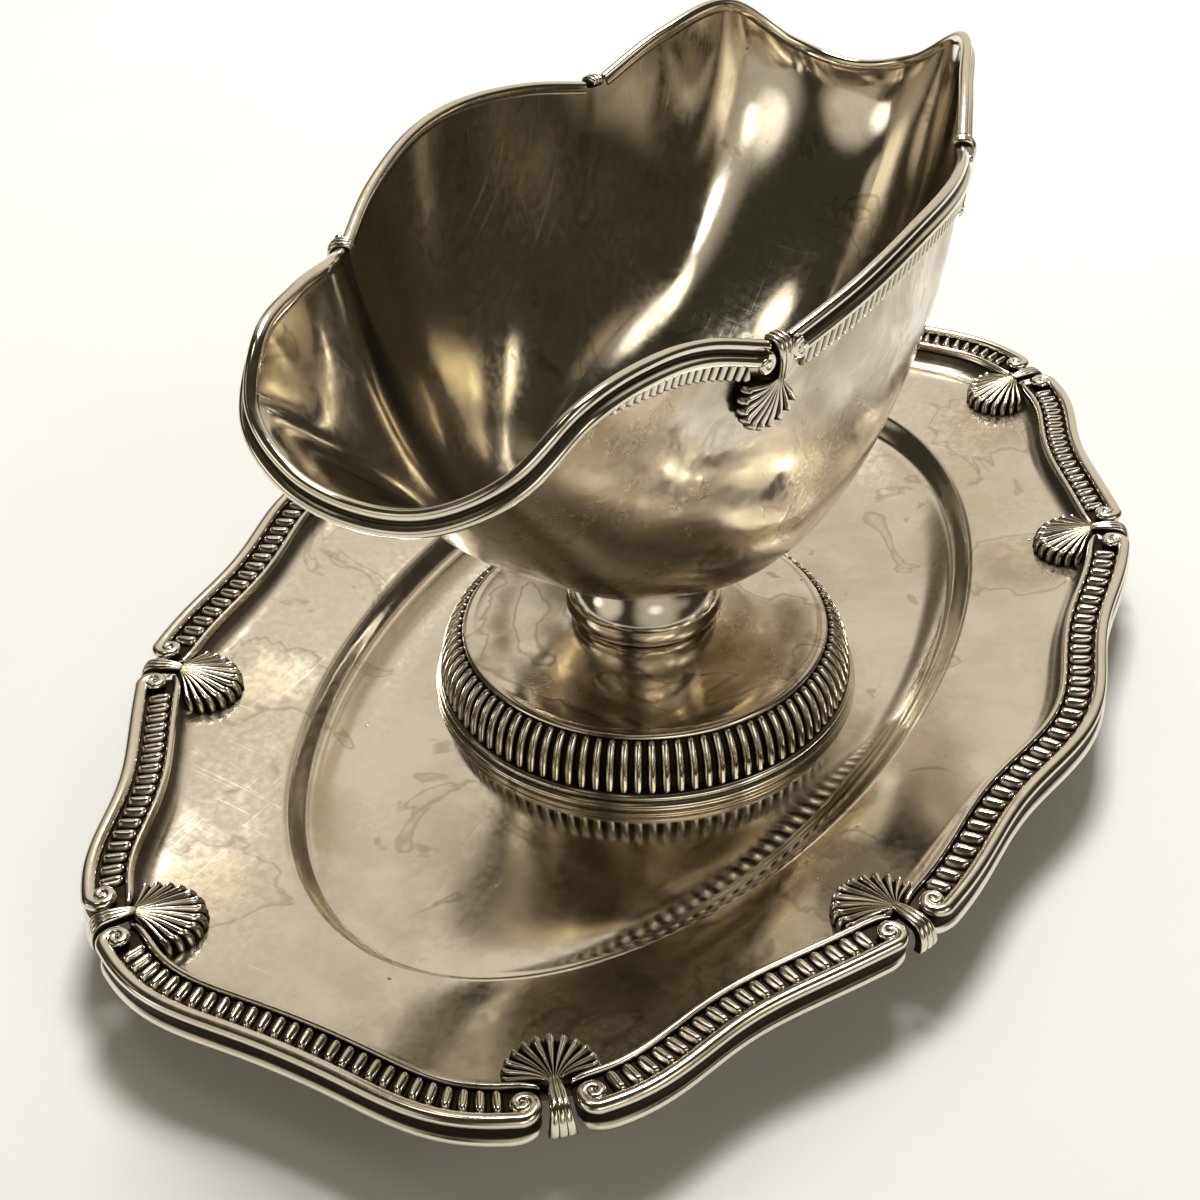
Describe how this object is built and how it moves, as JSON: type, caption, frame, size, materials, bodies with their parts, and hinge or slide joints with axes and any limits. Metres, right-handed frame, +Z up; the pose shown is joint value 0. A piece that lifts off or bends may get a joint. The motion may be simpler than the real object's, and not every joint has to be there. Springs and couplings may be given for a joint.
{
  "type": "sauce boat on stand",
  "caption": "Polished silver sauce boat with shell and gadroon rims on a domed foot, standing loose on its oval lobed stand",
  "frame": {"origin": "centre of the stand's underside on the table", "axes": "+X towards the pouring lip, +Y to the boat's left, +Z up"},
  "size_m": [0.2676, 0.1844, 0.1115],
  "materials": {
    "polished_silver": "polished silver with light warm tarnish",
    "chased_silver": "cast and chased silver with dark patina in its recesses"
  },
  "bodies": {
    "stand": {"stand_plate": "polished_silver", "border_front": "chased_silver", "border_front_left": "chased_silver", "border_left": "chased_silver", "border_back_left": "chased_silver", "border_back": "chased_silver", "border_back_right": "chased_silver", "border_right": "chased_silver", "border_front_right": "chased_silver", "stand_shell_front_left": "chased_silver", "stand_shell_left_front": "chased_silver", "stand_shell_left_back": "chased_silver", "stand_shell_back_left": "chased_silver", "stand_shell_back_right": "chased_silver", "stand_shell_right_back": "chased_silver", "stand_shell_right_front": "chased_silver", "stand_shell_front_right": "chased_silver"},
    "boat": {"bowl": "polished_silver", "lip_rim": "polished_silver", "left_rim": "polished_silver", "right_rim": "polished_silver", "back_rim": "polished_silver", "lip_gadroon_left": "chased_silver", "lip_gadroon_right": "chased_silver", "left_gadroon": "chased_silver", "right_gadroon": "chased_silver", "back_gadroon": "chased_silver", "boat_shell_front_left": "chased_silver", "boat_shell_front_right": "chased_silver", "boat_shell_back_left": "chased_silver", "boat_shell_back_right": "chased_silver", "neck_collar": "polished_silver", "neck_knop": "polished_silver", "foot_dome": "polished_silver", "foot_gadroon": "chased_silver", "foot_ring": "polished_silver"}
  },
  "joints": [
    {"name": "boat_lift", "type": "slide", "parent": "stand", "child": "boat", "axis": [0, 0, 1], "range_m": [0, 0.15]}
  ]
}
